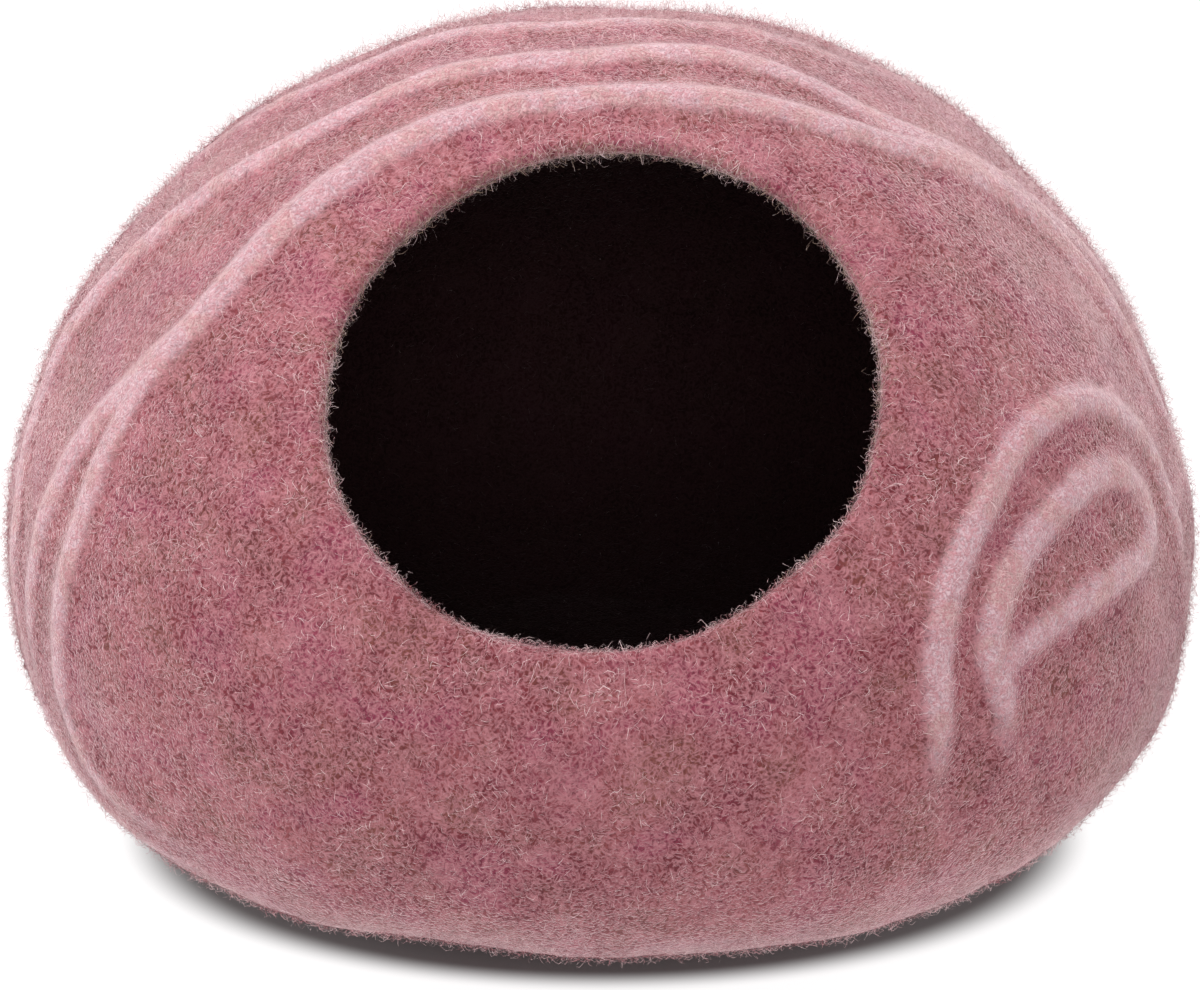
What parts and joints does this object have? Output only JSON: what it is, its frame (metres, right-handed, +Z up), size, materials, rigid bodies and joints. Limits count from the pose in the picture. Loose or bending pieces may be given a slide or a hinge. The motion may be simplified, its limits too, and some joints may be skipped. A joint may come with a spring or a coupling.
{
  "type": "felt cat cave",
  "caption": "Seamless egg-shaped cave of thick rose wool felt on a flattened base, with a round mouth in its upper front and soft raised ribs.",
  "frame": {"origin": "on the floor, under the middle of the outline seen from above", "axes": "+Z up from the floor, the mouth towards -Y and upwards, +X to the right of someone who faces the mouth"},
  "size_m": [0.4572, 0.4198, 0.3098],
  "materials": {
    "wool_felt": "matte felted wool, dusty rose with mottled pink and brown fibres"
  },
  "bodies": {
    "root": {"felt_shell": "wool_felt"}
  },
  "joints": []
}
